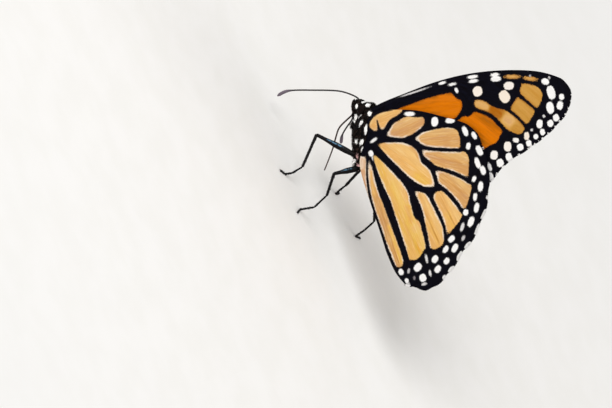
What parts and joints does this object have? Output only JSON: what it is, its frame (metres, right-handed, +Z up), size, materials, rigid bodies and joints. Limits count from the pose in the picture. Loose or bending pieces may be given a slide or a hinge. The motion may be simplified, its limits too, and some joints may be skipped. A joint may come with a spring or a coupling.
{
  "type": "monarch butterfly model",
  "caption": "Life-size still model of a monarch butterfly standing with closed wings, feelers forward and proboscis lowered.",
  "frame": {"origin": "on the floor under the feet, at the middle of the box round the model", "axes": "-X is the way the head faces, -Y is its left side, +Z is up"},
  "size_m": [0.049, 0.0264, 0.0625],
  "materials": {
    "body_fur": "short black fur with white tufts, matt",
    "eye": "smooth dark brown, glossy",
    "antenna": "black shaft with a greyish club, satin",
    "proboscis": "dark red-brown, satin",
    "leg": "black scaled cuticle with a faint blue sheen",
    "forewing": "orange scales with black veins, black border and white spots, matt",
    "hindwing": "buff orange scales with black veins, black border and white spots, matt"
  },
  "bodies": {
    "root": {"head": "body_fur", "thorax": "body_fur", "abdomen": "body_fur", "palp_l": "body_fur", "palp_r": "body_fur", "eye_l": "eye", "eye_r": "eye", "antenna_l": "antenna", "antenna_r": "antenna", "proboscis": "proboscis", "foreleg_l": "leg", "foreleg_r": "leg", "midleg_l": "leg", "midleg_r": "leg", "hindleg_l": "leg", "hindleg_r": "leg", "forewing_l": "forewing", "forewing_r": "forewing", "hindwing_l": "hindwing", "hindwing_r": "hindwing"}
  },
  "joints": []
}
